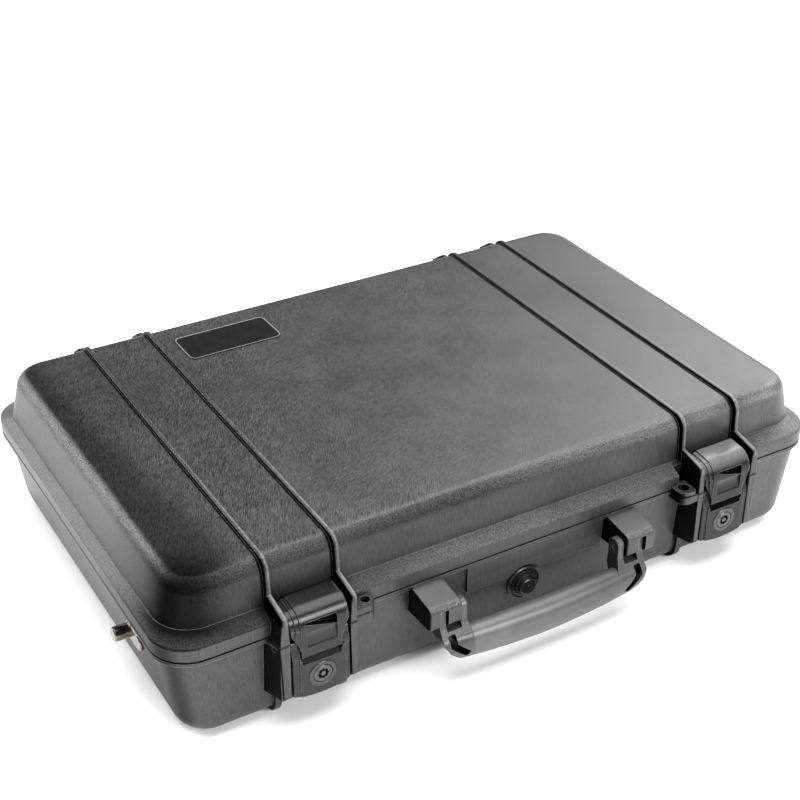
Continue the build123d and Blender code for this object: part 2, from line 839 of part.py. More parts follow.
def oval(x, cy, cz, ry, rz):
    with BuildSketch(across(x)) as section:
        with Locations((cy, cz)):
            Ellipse(ry, rz)
    return section.sketch


with BuildPart() as handle_core:
    rod_x(GRIP[0][1], 28.4, 5.0, -60.0, 60.0)
    for s in (-1, 1):
        # end piece in front view, from the two leaves down to the grip
        with BuildPart(mode=Mode.PRIVATE) as end_front:
            xz_prism(
                [
                    (s * 79.6, 64.0),
                    (s * 79.6, 37.0),
                    (s * 76.0, 30.0),
                    (s * 64.0, 19.0),
                    (s * 58.0, 14.0),
                    (s * 58.0, 41.2),
                    (s * 59.4, 46.0),
                    (s * 59.4, 64.0),
                ],
                -150.0,
                -210.0,
                [0.0, 6.0, 6.0, 0.0, 0.0, 1.5, 3.0, 0.0],
            )
        with BuildPart(mode=Mode.PRIVATE) as end_side:
            a, b = sorted((s * 50.0, s * 82.0))
            yz_prism(handle_side, a, b, handle_side_radii)
            ends = [oval(s * GRIP[3][0], *GRIP[3][1:]), oval(s * GRIP[4][0], *GRIP[4][1:])]
            loft(ends, mode=Mode.ADD)
        add(end_front.part & end_side.part)
        # clevis gap between the leaves
        a, b = sorted((s * 64.0, s * 75.0))
        box_between(a, b, -200.0, -165.0, 43.2, 66.0, mode=Mode.SUBTRACT)
        # moulded pocket that follows the outer edge
        xz_prism(
            [
                (s * 70.2, 41.2),
                (s * 75.6, 41.2),
                (s * 75.6, 34.0),
                (s * 63.8, 23.6),
                (s * 60.6, 27.0),
                (s * 70.2, 35.6),
            ],
            -186.0,
            -200.0,
            [1.0, 1.0, 2.0, 1.0, 1.0, 1.0],
            mode=Mode.SUBTRACT,
        )
        a, b = sorted((s * 55.0, s * 82.0))
        rod_x(hy, hz, HANDLE_PIN_R + RUN, a, b, mode=Mode.SUBTRACT)
handle_core.part.label = "handle_core"
export_step(handle_core.part, "parts/handle_core.step")

with BuildPart() as handle_grip:
    sections = [oval(-x, *rest) for x, *rest in reversed(GRIP[1:4])]
    sections += [oval(x, *rest) for x, *rest in GRIP[:4]]
    loft(sections)
    rod_x(GRIP[0][1], 28.4, 5.0, -60.0, 60.0, mode=Mode.SUBTRACT)
handle_grip.part.label = "handle_grip"
export_step(handle_grip.part, "parts/handle_grip.step")

for name, s in (("left", -1), ("right", 1)):
    with BuildPart() as handle_pin:
        a, b = sorted((s * 59.7, s * 85.9))
        rod_x(hy, hz, HANDLE_PIN_R, a, b)
    handle_pin.part.label = "handle_pin_" + name
    export_step(handle_pin.part, "parts/handle_pin_%s.step" % name)

# ---------------------------------------------------------------- pressure valve
with BuildPart() as valve_body:
    rod_y(0, VALVE_Z, 12.7, -160.4, -163.2)
    chamfer(valve_body.edges().group_by(Axis.Y)[0], 0.8)
    rod_y(0, VALVE_Z, 6.0, -153.0, -160.4)
    with BuildSketch(facing(-162.3)):
        with Locations((0, VALVE_Z)):
            Circle(11.0)
            Circle(9.9, mode=Mode.SUBTRACT)
    extrude(amount=3.0, mode=Mode.SUBTRACT)
    rod_y(0, VALVE_Z, 3.05, -150.0, -165.0, mode=Mode.SUBTRACT)
    with BuildSketch(facing(-160.0)):
        with Locations((0, VALVE_Z)):
            Circle(10.0)
            Circle(7.8, mode=Mode.SUBTRACT)
    extrude(amount=1.4, mode=Mode.SUBTRACT)
valve_body.part.label = "valve_body"
export_step(valve_body.part, "parts/valve_body.step")

with BuildPart() as valve_seal:
    with BuildSketch(facing(-160.4)):
        with Locations((0, VALVE_Z)):
            Circle(9.95)
            Circle(7.85, mode=Mode.SUBTRACT)
    extrude(amount=1.0)
valve_seal.part.label = "valve_seal"
export_step(valve_seal.part, "parts/valve_seal.step")

with BuildPart() as valve_knob:
    rod_y(0, VALVE_Z, 8.6, -163.5, -166.2)
    rod_y(0, VALVE_Z, 6.3, -166.2, -168.6)
    fillet(valve_knob.edges().group_by(Axis.Y)[0], 1.2)
    rod_y(0, VALVE_Z, 2.2, -167.0, -169.3)
    rod_y(0, VALVE_Z, 3.0, -155.0, -163.5)
    with BuildSketch(facing(-165.2)):
        with Locations((0, VALVE_Z)):
            with PolarLocations(8.9, 12):
                Circle(0.7)
    extrude(amount=2.0, mode=Mode.SUBTRACT)
valve_knob.part.label = "valve_knob"
export_step(valve_knob.part, "parts/valve_knob.step")

# ---------------------------------------------------------------- strap posts
for name, s in (("left", -1), ("right", 1)):
    with BuildPart() as strap_plate:
        with BuildSketch(across(s * STRAP_SEAT)):
            with Locations((STRAP_Y - 7.0, STRAP_Z)):
                SlotOverall(26.0, 12.0)
        extrude(amount=s * 3.2)
        chamfer(
            strap_plate.edges().group_by(Axis.X)[-1 if s > 0 else 0],
            0.8,
        )
        a, b = sorted((s * 240.0, s * 255.0))
        rod_x(STRAP_Y, STRAP_Z, 2.6, a, b, mode=Mode.SUBTRACT)
    strap_plate.part.label = "strap_plate_" + name
    export_step(strap_plate.part, "parts/strap_plate_%s.step" % name)

    with BuildPart() as strap_post:
        a, b = sorted((s * (STRAP_SEAT + 3.2), s * 257.6))
        rod_x(STRAP_Y, STRAP_Z, 4.9, a, b)
        chamfer(strap_post.edges().group_by(Axis.X)[-1 if s > 0 else 0], 0.7)
        a, b = sorted((s * 234.5, s * (STRAP_SEAT + 3.2)))
        rod_x(STRAP_Y, STRAP_Z, 2.6, a, b)
    strap_post.part.label = "strap_post_" + name
    export_step(strap_post.part, "parts/strap_post_%s.step" % name)

    with BuildPart() as strap_nut:
        with BuildSketch(across(s * 239.2)):
            with Locations((STRAP_Y, STRAP_Z)):
                RegularPolygon(5.2, 6)
                Circle(2.6, mode=Mode.SUBTRACT)
        extrude(amount=-s * 4.0)
    strap_nut.part.label = "strap_nut_" + name
    export_step(strap_nut.part, "parts/strap_nut_%s.step" % name)
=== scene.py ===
import json
import math

import bmesh
import bpy
import numpy as np
from mathutils import Matrix, Vector


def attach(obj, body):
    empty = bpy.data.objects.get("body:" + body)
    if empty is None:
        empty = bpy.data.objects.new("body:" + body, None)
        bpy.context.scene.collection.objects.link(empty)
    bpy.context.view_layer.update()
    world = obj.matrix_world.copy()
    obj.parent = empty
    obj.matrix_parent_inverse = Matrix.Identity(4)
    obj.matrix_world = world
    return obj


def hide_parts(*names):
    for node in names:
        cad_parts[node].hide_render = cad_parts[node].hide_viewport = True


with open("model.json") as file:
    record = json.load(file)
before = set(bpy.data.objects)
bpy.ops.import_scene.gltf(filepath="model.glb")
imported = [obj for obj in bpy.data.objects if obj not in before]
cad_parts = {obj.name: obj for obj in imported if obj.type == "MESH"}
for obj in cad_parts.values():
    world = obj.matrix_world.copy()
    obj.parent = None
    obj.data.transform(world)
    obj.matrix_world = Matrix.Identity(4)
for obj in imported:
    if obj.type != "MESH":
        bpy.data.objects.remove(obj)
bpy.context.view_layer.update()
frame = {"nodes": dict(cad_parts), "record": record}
scene = bpy.context.scene
MM = 0.001
SHELL_Y = 10.0  # the shells' middle stands this far behind the origin, mm

# ---------------------------------------------------------------- camera
# the photograph's view: solved from the case's edges
cam_data = bpy.data.cameras.new("camera")
cam = bpy.data.objects.new("camera", cam_data)
scene.collection.objects.link(cam)
cam.matrix_world = Matrix(
    (
        (0.859551, 0.262167, -0.438681, -0.47514),
        (-0.511015, 0.450976, -0.731768, -0.80477),
        (0.005989, 0.853164, 0.521608, 0.66712),
        (0.0, 0.0, 0.0, 1.0),
    )
)
cam_data.sensor_fit = "HORIZONTAL"
cam_data.sensor_width = 36.0
cam_data.lens = 1528.797 / 800.0 * 36.0
cam_data.shift_x = -(416.370 - 400.0) / 800.0
cam_data.shift_y = (402.721 - 400.0) / 800.0
cam_data.clip_start = 0.02
cam_data.clip_end = 60.0
scene.camera = cam

# ---------------------------------------------------------------- floor and light
scene.view_settings.view_transform = "Standard"
scene.view_settings.look = "None"
scene.view_settings.exposure = 0.0

world = bpy.data.worlds.new("studio")
scene.world = world
world.use_nodes = True
background = world.node_tree.nodes["Background"]
background.inputs["Color"].default_value = (0.96, 0.975, 1.0, 1.0)
# the studio is darker behind the case, where its flat top mirrors the room
towards = world.node_tree.nodes.new("ShaderNodeTexCoord")
dot = world.node_tree.nodes.new("ShaderNodeVectorMath")
dot.operation = "DOT_PRODUCT"
dot.inputs[1].default_value = Vector((0.12, 0.86, 0.5)).normalized()
fall = world.node_tree.nodes.new("ShaderNodeMapRange")
fall.interpolation_type = "SMOOTHSTEP"
for socket, v in zip(fall.inputs[1:5], (0.45, 0.98, 0.36, 0.20)):
    socket.default_value = v
world.node_tree.links.new(towards.outputs["Generated"], dot.inputs[0])
world.node_tree.links.new(dot.outputs["Value"], fall.inputs[0])
world.node_tree.links.new(fall.outputs[0], background.inputs["Strength"])


def area_light(name, at, towards, size, power, size_y=None, colour=(1, 1, 1), spread=180):
    data = bpy.data.lights.new(name, "AREA")
    data.shape = "RECTANGLE"
    data.size = size
    data.size_y = size_y or size
    data.energy = power
    data.color = colour
    data.spread = math.radians(spread)
    light = bpy.data.objects.new(name, data)
    scene.collection.objects.link(light)
    light.location = at
    light.rotation_mode = "QUATERNION"
    light.rotation_quaternion = (Vector(towards) - Vector(at)).to_track_quat("-Z", "Y")
    return light


# soft boxes: a wide one overhead that whitens the floor, one to the right that the
# lid's face mirrors, one in front and a weak one at the left
area_light("overhead_softbox", (0.0, -0.1, 2.6), (0.0, 0.0, 0.0), 2.8, 150, 2.4)
area_light("right_softbox", (2.05, 0.95, 1.6), (0.1, -0.05, 0.1), 1.9, 54, 1.1)
area_light("front_softbox", (0.5, -2.1, 1.3), (0.1, -0.1, 0.05), 1.1, 58, 0.8)
area_light("back_left_softbox", (-1.4, 1.6, 1.0), (-0.75, 0.85, 0.0), 1.1, 46, 0.8)


# ---------------------------------------------------------------- shader helper
class Graph:
    """A node material put together from short calls. Lengths in its textures are mm."""

    def __init__(self, name):
        self.material = bpy.data.materials.new(name)
        self.material.use_nodes = True
        self.tree = self.material.node_tree
        self.tree.nodes.clear()
        self.out = self.add("ShaderNodeOutputMaterial")
        self.bsdf = self.add("ShaderNodeBsdfPrincipled")
        self.tree.links.new(self.bsdf.outputs[0], self.out.inputs["Surface"])
        coord = self.add("ShaderNodeTexCoord")
        self.point = self.vec("SCALE", coord.outputs["Object"], scale=1000.0)
        self.normal = coord.outputs["Normal"]
        apart = self.add("ShaderNodeSeparateXYZ")
        self.put(apart.inputs[0], self.point)
        self.x, self.y, self.z = apart.outputs
        apart = self.add("ShaderNodeSeparateXYZ")
        self.put(apart.inputs[0], self.normal)
        self.nx, self.ny, self.nz = apart.outputs

    def add(self, kind, **settings):
        node = self.tree.nodes.new(kind)
        for key, value in settings.items():
            setattr(node, key, value)
        return node

    def put(self, socket, value):
        if isinstance(value, bpy.types.NodeSocket):
            self.tree.links.new(value, socket)
        else:
            socket.default_value = value

    def math(self, op, a, b=0.0, c=0.0, clamp=False):
        node = self.add("ShaderNodeMath", operation=op, use_clamp=clamp)
        for socket, value in zip(node.inputs, (a, b, c)):
            self.put(socket, value)
        return node.outputs[0]

    def vec(self, op, a, b=None, scale=None):
        node = self.add("ShaderNodeVectorMath", operation=op)
        self.put(node.inputs[0], a)
        if b is not None:
            self.put(node.inputs[1], b)
        if scale is not None:
            self.put(node.inputs["Scale"], scale)
        return node.outputs["Value" if op in ("DOT_PRODUCT", "LENGTH") else "Vector"]

    def step(self, value, a, b, c=0.0, d=1.0):
        """value from a..b carried smoothly to c..d."""
        node = self.add("ShaderNodeMapRange", interpolation_type="SMOOTHSTEP")
        for socket, v in zip(node.inputs, (value, a, b, c, d)):
            self.put(socket, v)
        return node.outputs[0]

    def line(self, value, a, b, c=0.0, d=1.0):
        node = self.add("ShaderNodeMapRange")
        for socket, v in zip(node.inputs, (value, a, b, c, d)):
            self.put(socket, v)
        return node.outputs[0]

    def noise(self, size=(1.0, 1.0, 1.0), detail=2.0, rough=0.5, point=None, offset=0.0):
        """Noise whose features are about size mm along each axis."""
        at = self.vec("MULTIPLY", point or self.point, tuple(1.0 / s for s in size))
        if offset:
            at = self.vec("ADD", at, (offset, offset * 1.7, offset * 0.6))
        node = self.add("ShaderNodeTexNoise")
        self.put(node.inputs["Vector"], at)
        node.inputs["Scale"].default_value = 1.0
        node.inputs["Detail"].default_value = detail
        node.inputs["Roughness"].default_value = rough
        return node.outputs[0]

    def cells(self, size=1.0, feature="F1", randomness=1.0):
        node = self.add("ShaderNodeTexVoronoi", feature=feature)
        self.put(node.inputs["Vector"], self.vec("SCALE", self.point, scale=1.0 / size))
        node.inputs["Scale"].default_value = 1.0
        node.inputs["Randomness"].default_value = randomness
        return node.outputs["Distance"]

    def mix(self, factor, a, b):
        node = self.add("ShaderNodeMix", data_type="FLOAT")
        self.put(node.inputs[0], factor)
        self.put(node.inputs[2], a)
        self.put(node.inputs[3], b)
        return node.outputs[0]

    def blend(self, factor, a, b):
        node = self.add("ShaderNodeMix", data_type="RGBA")
        self.put(node.inputs[0], factor)
        for socket, value in ((node.inputs[6], a), (node.inputs[7], b)):
            if not isinstance(value, bpy.types.NodeSocket):
                value = tuple(value) + (1.0,) * (4 - len(value))
            self.put(socket, value)
        return node.outputs[2]

    def tint(self, colour, factor):
        """A constant colour, made lighter or darker by factor."""
        return self.vec("SCALE", tuple(colour[:3]), scale=factor)

    def edges(self, radius):
        """(softened normal, 0..1 mask that is high along hard edges)."""
        bevel = self.add("ShaderNodeBevel", samples=6)
        bevel.inputs["Radius"].default_value = radius * MM
        geometry = self.add("ShaderNodeNewGeometry")
        same = self.vec("DOT_PRODUCT", bevel.outputs[0], geometry.outputs["Normal"])
        return bevel.outputs[0], self.line(same, 0.995, 0.80)

    def open_air(self, reach, low=0.35, high=0.95):
        """0..1: low in the piece's own creases and under its overhangs, within reach mm."""
        node = self.add("ShaderNodeAmbientOcclusion", samples=8, only_local=True)
        node.inputs["Distance"].default_value = reach * MM
        return self.step(node.outputs["AO"], low, high)

    def bump(self, height, normal=None):
        """height in mm."""
        node = self.add("ShaderNodeBump")
        node.inputs["Strength"].default_value = 1.0
        node.inputs["Distance"].default_value = MM
        self.put(node.inputs["Height"], height)
        if normal is not None:
            self.put(node.inputs["Normal"], normal)
        self.put(self.bsdf.inputs["Normal"], node.outputs[0])

    def surface(self, colour=None, rough=None, metallic=None, **constants):
        if colour is not None:
            if not isinstance(colour, bpy.types.NodeSocket):
                colour = tuple(colour) + (1.0,) * (4 - len(colour))
            self.put(self.bsdf.inputs["Base Color"], colour)
        if rough is not None:
            self.put(self.bsdf.inputs["Roughness"], rough)
        if metallic is not None:
            self.bsdf.inputs["Metallic"].default_value = metallic
        for key, value in constants.items():
            self.bsdf.inputs[key.replace("_", " ")].default_value = value


# ---------------------------------------------------------------- materials
def shell_material():
    g = Graph("polypropylene")
    # short fine strokes over the lid's face: six directions, weighted by a slowly
    # turning angle
    turn = g.math(
        "ADD",
        g.step(g.x, -150.0, 60.0, math.radians(58), math.radians(36)),
        g.math(
            "MULTIPLY",
            g.math("SUBTRACT", g.noise((95, 95, 95), 1.0), 0.5),
            math.radians(130),
        ),
    )
    total, weights = None, None
    for i in range(6):
        angle = math.pi * i / 6
        c, s = math.cos(angle), math.sin(angle)
        along = g.vec("DOT_PRODUCT", g.point, (c, s, 0.0))
        beside = g.vec("DOT_PRODUCT", g.point, (-s, c, 0.0))
        at = g.add("ShaderNodeCombineXYZ")
        g.put(at.inputs[0], along)
        g.put(at.inputs[1], beside)
        at.inputs[2].default_value = 11.0 * i
        stroke = g.noise((4.2, 0.62, 9.0), 2.0, 0.55, point=at.outputs[0])
        near = g.math("POWER", g.math("ABSOLUTE", g.math("COSINE", g.math("SUBTRACT", turn, angle))), 18.0)
        part = g.math("MULTIPLY", stroke, near)
        total = part if total is None else g.math("ADD", total, part)
        weights = near if weights is None else g.math("ADD", weights, near)
    strokes = g.math("SUBTRACT", g.math("DIVIDE", total, weights), 0.5)

    # upright brushed streaks on the walls, finer grain over everything
    streaks = g.math("SUBTRACT", g.noise((0.42, 0.42, 16.0), 2.0, 0.6), 0.5)
    pebble = g.math("SUBTRACT", g.noise((0.55, 0.55, 0.55), 2.0, 0.65), 0.5)
    coarse = g.math("SUBTRACT", g.noise((0.95, 0.95, 0.95), 2.0, 0.7, offset=3.1), 0.5)
    soft = g.math("SUBTRACT", g.noise((26, 26, 26), 3.0, 0.55), 0.5)
    broad = g.math("SUBTRACT", g.noise((70, 70, 70), 2.0, 0.5, offset=5.0), 0.5)

    facing_up = g.step(g.nz, 0.90, 0.985)
    high = g.step(g.z, 100.0, 114.0)
    flat_top = g.math("MULTIPLY", facing_up, high)
    slanted = g.math("MULTIPLY", g.step(g.nz, 0.14, 0.45), g.math("SUBTRACT", 1.0, g.step(g.nz, 0.93, 0.995)))
    wall = g.math("SUBTRACT", 1.0, g.step(g.math("ABSOLUTE", g.nz), 0.25, 0.6))

    # the strokes are strongest at the left and fade over the middle
    strong = g.math("ADD", g.step(g.x, 60.0, -190.0, 0.5, 1.35), g.math("MULTIPLY", soft, 0.8))
    # painted shade: a dark band on the flat ground beside the lid's rounded left edge, widest in front; the band is
    # also rougher
    frayed = g.math("ADD", g.math("ADD", g.x, g.math("MULTIPLY", coarse, 12.0)), g.step(g.y, -140.0, 120.0, -14.0, 6.0))
    left_band_shade = g.math("MULTIPLY", flat_top, g.step(frayed, -192.0, -226.0))
    # painted shade on the lid's rounded front edge at the left, turning to painted light towards the right
    rim_light_and_shade = g.math("MULTIPLY", g.step(g.z, 103.0, 108.0), g.math("MULTIPLY", slanted, g.step(g.ny, -0.1, -0.5)))
    # the sloped shoulder above the lid's lip
    shoulder = g.math("MULTIPLY", slanted, g.math("SUBTRACT", 1.0, g.step(g.z, 86.0, 90.0)))
    # end wall at the left: painted shade towards its front corner, and painted light at its back in the list below
    end_wall_front_shade = g.math("MULTIPLY", g.step(g.nx, -0.5, -0.9), g.step(g.y, -20.0, -130.0))
    # painted shade round the lid's front left corner
    reach = g.add("ShaderNodeCombineXYZ")
    g.put(reach.inputs[0], g.math("ADD", g.x, 240.0))
    g.put(reach.inputs[1], g.math("ADD", g.y, 136.0))
    corner_shade = g.math(
        "MULTIPLY",
        g.step(g.z, 79.0, 84.0),
        g.step(g.math("ADD", g.vec("LENGTH", reach.outputs[0]), g.math("MULTIPLY", coarse, 14.0)), 46.0, 12.0),
    )
    # painted shadow at the left foot of each rib, and painted shade on the left sides of ribs and fins
    rib_foot_shadow, crest_highlight = None, None
    for rib_x in (-181.1, -134.4, 134.4, 181.1):
        away = g.math("ABSOLUTE", g.math("SUBTRACT", g.x, rib_x - 2.5))
        rib_foot_shadow = away if rib_foot_shadow is None else g.math("MINIMUM", rib_foot_shadow, away)
        away = g.math("ABSOLUTE", g.math("SUBTRACT", g.x, rib_x + 0.5))
        crest_highlight = away if crest_highlight is None else g.math("MINIMUM", crest_highlight, away)
    # painted highlight along the ribs' crests, most of all where they come down in front
    crest_highlight = g.math("MULTIPLY", g.step(crest_highlight, 1.0, 0.5), g.step(g.z, 84.0, 86.0))
    crest_highlight = g.math("MULTIPLY", crest_highlight, g.step(g.y, 60.0, -135.0, 0.02, 0.26))
    rib_foot_shadow = g.math("MULTIPLY", g.step(rib_foot_shadow, 1.4, 0.6), g.step(g.z, 84.0, 86.0))
    between = g.step(g.math("ABSOLUTE", g.x), 206.0, 200.0)
    flank_shade = g.math("MULTIPLY", between, g.step(g.nx, -0.3, -0.75))
    # painted shade on the lid's front wall
    front_wall = g.math("MULTIPLY", g.step(g.ny, -0.6, -0.9), g.step(g.x, 190.0, 60.0))
    lid_front_shade = g.math("MULTIPLY", front_wall, g.step(g.z, 84.0, 86.0))
    # painted shade in the seam between the lips
    seam_shade = g.math(
        "MULTIPLY",
        g.step(g.math("ABSOLUTE", g.math("SUBTRACT", g.z, 69.2)), 1.0, 0.5),
        g.step(g.math("ABSOLUTE", g.nz), 0.97, 0.85),
    )
    # painted light on the slanted faces at the right end
    right_end_light = g.math("MULTIPLY", g.step(g.x, 185.0, 240.0), slanted)
    # painted light on the handle blocks and on the wall between them
    block_light = g.math(
        "MULTIPLY",
        g.step(g.math("ABSOLUTE", g.math("SUBTRACT", g.math("ABSOLUTE", g.x), 76.0)), 15.0, 13.0),
        g.math("MULTIPLY", g.step(g.y, -154.0, -156.0), g.step(g.nz, 0.3, 0.7)),
    )
    panel_light = g.math(
        "MULTIPLY",
        g.step(g.math("ABSOLUTE", g.math("SUBTRACT", g.x, 8.5)), 54.5, 53.0),
        g.math("MULTIPLY", g.step(g.y, -151.0, -152.0), g.step(g.math("ABSOLUTE", g.math("SUBTRACT", g.z, 40.0)), 16.5, 14.0)),
    )

    normal, edge = g.edges(0.6)
    ripple = g.math("MULTIPLY", strokes, g.math("MULTIPLY", flat_top, g.math("MULTIPLY", strong, 0.17)))
    ripple = g.math("ADD", ripple, g.math("MULTIPLY", streaks, g.math("MULTIPLY", wall, 0.045)))
    ripple = g.math("ADD", ripple, g.math("MULTIPLY", pebble, g.mix(slanted, 0.035, 0.15)))
    ripple = g.math("ADD", ripple, g.math("MULTIPLY", coarse, g.math("MULTIPLY", slanted, 0.22)))
    g.bump(ripple, normal)

    shade = g.math("ADD", 1.0, g.math("MULTIPLY", strokes, g.math("MULTIPLY", flat_top, g.math("MULTIPLY", strong, 2.4))))
    shade = g.math("ADD", shade, g.math("MULTIPLY", streaks, g.math("MULTIPLY", wall, 1.1)))
    shade = g.math("ADD", shade, g.math("MULTIPLY", pebble, g.mix(slanted, 0.9, 2.2)))
    shade = g.math("ADD", shade, g.math("MULTIPLY", coarse, g.math("MULTIPLY", slanted, 2.6)))
    shade = g.math("ADD", shade, g.math("MULTIPLY", soft, 0.4))
    shade = g.math("ADD", shade, g.math("MULTIPLY", broad, 0.4))
    shade = g.math("MAXIMUM", shade, 0.10)
    shade = g.math("MULTIPLY", shade, g.mix(left_band_shade, 1.0, 0.34))
    shade = g.math("MULTIPLY", shade, g.mix(rim_light_and_shade, 1.0, g.step(g.x, -60.0, 120.0, 0.55, 1.5)))
    # painted shade on the shoulder at the lid's left front; the list below multiplies in the painted shade and painted
    # light of the masks above
    left_front = g.math("MULTIPLY", g.step(g.x, -20.0, -190.0), g.step(g.y, -60.0, -130.0))
    for mask, factor in (
        (g.math("MULTIPLY", shoulder, left_front), 0.34),
        (end_wall_front_shade, 0.24),
        (corner_shade, 0.22),
        (rib_foot_shadow, 0.18),
        (flank_shade, 0.40),
        (lid_front_shade, 0.80),
        (seam_shade, 0.10),
        (right_end_light, 1.7),
        (block_light, 1.35),
        (panel_light, 1.28),
        # painted shade over the top's far left; painted light on the front wall's right end, over the top from its left
        # middle rightwards, and at the back of the left end wall
        (g.math("MULTIPLY", flat_top, g.step(g.x, -120.0, -170.0)), 0.90),
        (g.math("MULTIPLY", g.step(g.ny, -0.6, -0.9), g.step(g.x, 186.0, 196.0)), 1.15),
        (g.math("MULTIPLY", flat_top, g.step(g.x, -130.0, -40.0)), 1.08),
        (g.math("MULTIPLY", g.step(g.nx, -0.5, -0.9), g.step(g.y, -30.0, 60.0)), 1.15),
    ):
        shade = g.math("MULTIPLY", shade, g.mix(mask, 1.0, factor))
    # painted shade in the piece's own creases and under its overhangs
    air = g.open_air(11.0, 0.30, 0.86)
    shade = g.math("MULTIPLY", shade, g.mix(air, 0.20, 1.0))
    # pale edges, partly wear and partly painted highlight, and the painted highlight on the rib crests, blend the
    # colour towards pale grey
    worn_and_highlit = g.math("MULTIPLY", edge, g.step(g.noise((5, 5, 5), 3.0, 0.6), 0.35, 0.65, 0.45, 1.0))
    colour = g.blend(
        g.math(
            "MAXIMUM",
            g.math("MULTIPLY", crest_highlight, g.step(g.noise((4, 4, 4), 3.0, 0.6), 0.35, 0.65, 0.5, 1.0)),
            g.math("MULTIPLY", g.math("MULTIPLY", worn_and_highlit, g.math("SUBTRACT", 1.0, seam_shade)), g.mix(air, 0.1, 0.75)),
        ),
        g.tint((0.0165, 0.0168, 0.0173), shade),
        (0.33, 0.33, 0.33),
    )
    rough = g.math("ADD", 0.42, g.math("MULTIPLY", soft, 0.16))
    rough = g.math("ADD", rough, g.math("MULTIPLY", strokes, g.math("MULTIPLY", flat_top, 0.5)))
    rough = g.math("SUBTRACT", rough, g.math("MULTIPLY", worn_and_highlit, 0.14))
    rough = g.math("ADD", rough, g.math("MULTIPLY", left_band_shade, 0.2))
    g.surface(colour, rough, IOR=1.5)
    g.put(g.bsdf.inputs["Specular IOR Level"], g.math("MULTIPLY", g.math("POWER", shade, 1.15), 0.5))
    return g.material


def moulded(name, colour, rough, grain=0.02, radius=0.7, edge_pale_amount=0.35, light=(0.09, 0.09, 0.09), left_face_shade=1.0, front_face_shade=(1.0, 1.0), ledge_shade_z=None, cap=None, painted_light_across=None):
    """Smooth moulded plastic: faint grain, smudges, brighter edges that are partly wear and partly painted highlight,
    and painted shade and painted light set by face direction and position.
    """
    g = Graph(name)
    fine = g.math("SUBTRACT", g.noise((0.5, 0.5, 0.5), 2.0, 0.6), 0.5)
    smudge = g.math("SUBTRACT", g.noise((11, 11, 11), 4.0, 0.6), 0.5)
    hair = g.math("SUBTRACT", g.noise((6.0, 0.5, 0.5), 1.0, 0.5), 0.5)
    normal, edge = g.edges(radius)
    g.bump(
        g.math("ADD", g.math("MULTIPLY", fine, grain), g.math("MULTIPLY", hair, grain * 0.8)),
        normal,
    )
    # pale edges: partly wear, partly painted highlight
    worn_and_highlit = g.math("MULTIPLY", edge, g.step(g.noise((3, 3, 3), 3.0, 0.6), 0.3, 0.65, 0.3, 1.0))
    shade = g.math("ADD", 1.0, g.math("ADD", g.math("MULTIPLY", smudge, 0.5), g.math("MULTIPLY", fine, 0.3)))
    # painted shade on faces turned to the left
    shade = g.math("MULTIPLY", shade, g.mix(g.step(g.nx, -0.35, -0.8), 1.0, left_face_shade))
    # painted shade on faces turned to the front, stronger at the right than at the left
    shade = g.math("MULTIPLY", shade, g.mix(g.step(g.ny, -0.8, -0.97), 1.0, g.step(g.x, -40.0, 40.0, *front_face_shade)))
    if ledge_shade_z is not None:
        # painted shade on the sloped ledge under the tongue
        near = g.step(g.math("ABSOLUTE", g.math("SUBTRACT", g.z, ledge_shade_z)), 2.8, 2.2)
        tilt = g.step(g.math("ABSOLUTE", g.math("SUBTRACT", g.nz, 0.7)), 0.2, 0.1)
        shade = g.math("MULTIPLY", shade, g.mix(g.math("MULTIPLY", near, tilt), 1.0, 0.12))
    if painted_light_across is not None:
        # painted light at one end, painted shade at the other
        shade = g.math("MULTIPLY", shade, g.step(g.x, *painted_light_across))
    cap_highlight = 0.0
    if cap is not None:
        # the caps over the lid's lip: painted shade on the left latch's cap, painted highlight on the right one
        top = g.math("MULTIPLY", g.step(g.z, cap, cap + 3.0), g.step(g.nz, 0.05, 0.45))
        shade = g.math("MULTIPLY", shade, g.mix(top, 1.0, g.step(g.x, -40.0, 40.0, 0.55, 1.2)))
        cap_highlight = g.math("MULTIPLY", g.math("MULTIPLY", top, g.step(g.nz, 0.4, 0.9)), g.step(g.x, -40.0, 40.0, 0.0, 0.28))
    # painted shade in the piece's own creases and under its overhangs
    air = g.open_air(9.0, 0.30, 0.82)
    shade = g.math("MULTIPLY", shade, g.mix(air, 0.15, 1.0))
    g.surface(
        g.blend(
            g.math("MAXIMUM", cap_highlight, g.math("MULTIPLY", worn_and_highlit, g.mix(air, edge_pale_amount * 0.15, edge_pale_amount))),
            g.tint(colour, shade),
            light,
        ),
        g.math("ADD", rough, g.math("ADD", g.math("MULTIPLY", smudge, 0.22), g.math("MULTIPLY", hair, 0.08))),
        IOR=1.5,
    )
    g.put(g.bsdf.inputs["Specular IOR Level"], g.math("MULTIPLY", g.math("MINIMUM", shade, 1.2), 0.5))
    return g.material


def metal(name, colour, rough, axis="x", turned=0.012):
    """Turned or plated metal with fine tool marks across the axis."""
    g = Graph(name)
    size = {"x": (0.25, 6.0, 6.0), "y": (6.0, 0.25, 6.0), "z": (6.0, 6.0, 0.25)}[axis]
    marks = g.math("SUBTRACT", g.noise(size, 2.0, 0.6), 0.5)
    smudge = g.math("SUBTRACT", g.noise((4, 4, 4), 3.0, 0.6), 0.5)
    normal, edge = g.edges(0.3)
    g.bump(g.math("MULTIPLY", marks, turned), normal)
    shade = g.math("ADD", 1.0, g.math("ADD", g.math("MULTIPLY", smudge, 0.5), g.math("MULTIPLY", marks, 0.3)))
    g.surface(
        g.tint(colour, shade),
        g.math("ADD", rough, g.math("MULTIPLY", smudge, 0.2)),
        metallic=1.0,
    )
    return g.material


